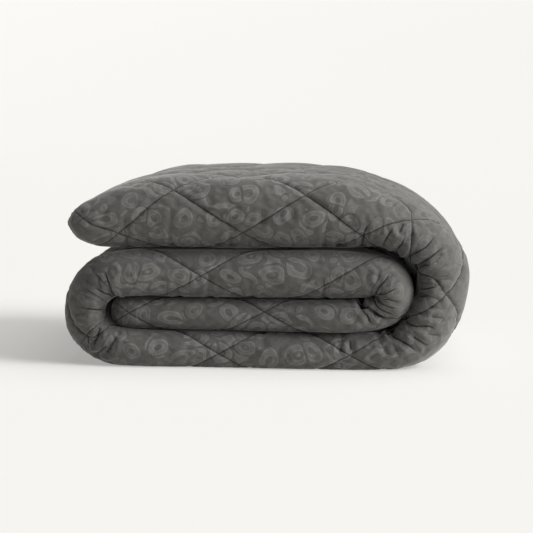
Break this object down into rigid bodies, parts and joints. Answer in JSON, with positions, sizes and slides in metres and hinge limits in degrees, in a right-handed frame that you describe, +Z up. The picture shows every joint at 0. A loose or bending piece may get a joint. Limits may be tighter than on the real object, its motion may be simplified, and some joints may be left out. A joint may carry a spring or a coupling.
{
  "type": "folded duvet",
  "caption": "Quilted duvet folded along its length and rolled up flat, lying on a surface.",
  "frame": {"origin": "on the floor under the middle of the folded duvet's box", "axes": "+Z up, +X along the layers towards the outer right-hand turn, +Y from the folded edges that face the viewer to the ones at the back"},
  "size_m": [0.4802, 0.4708, 0.2317],
  "materials": {
    "duvet": "brushed microfibre, matt, dark grey with a tone-on-tone print of rings and blots"
  },
  "bodies": {
    "root": {"duvet": "duvet"}
  },
  "joints": []
}
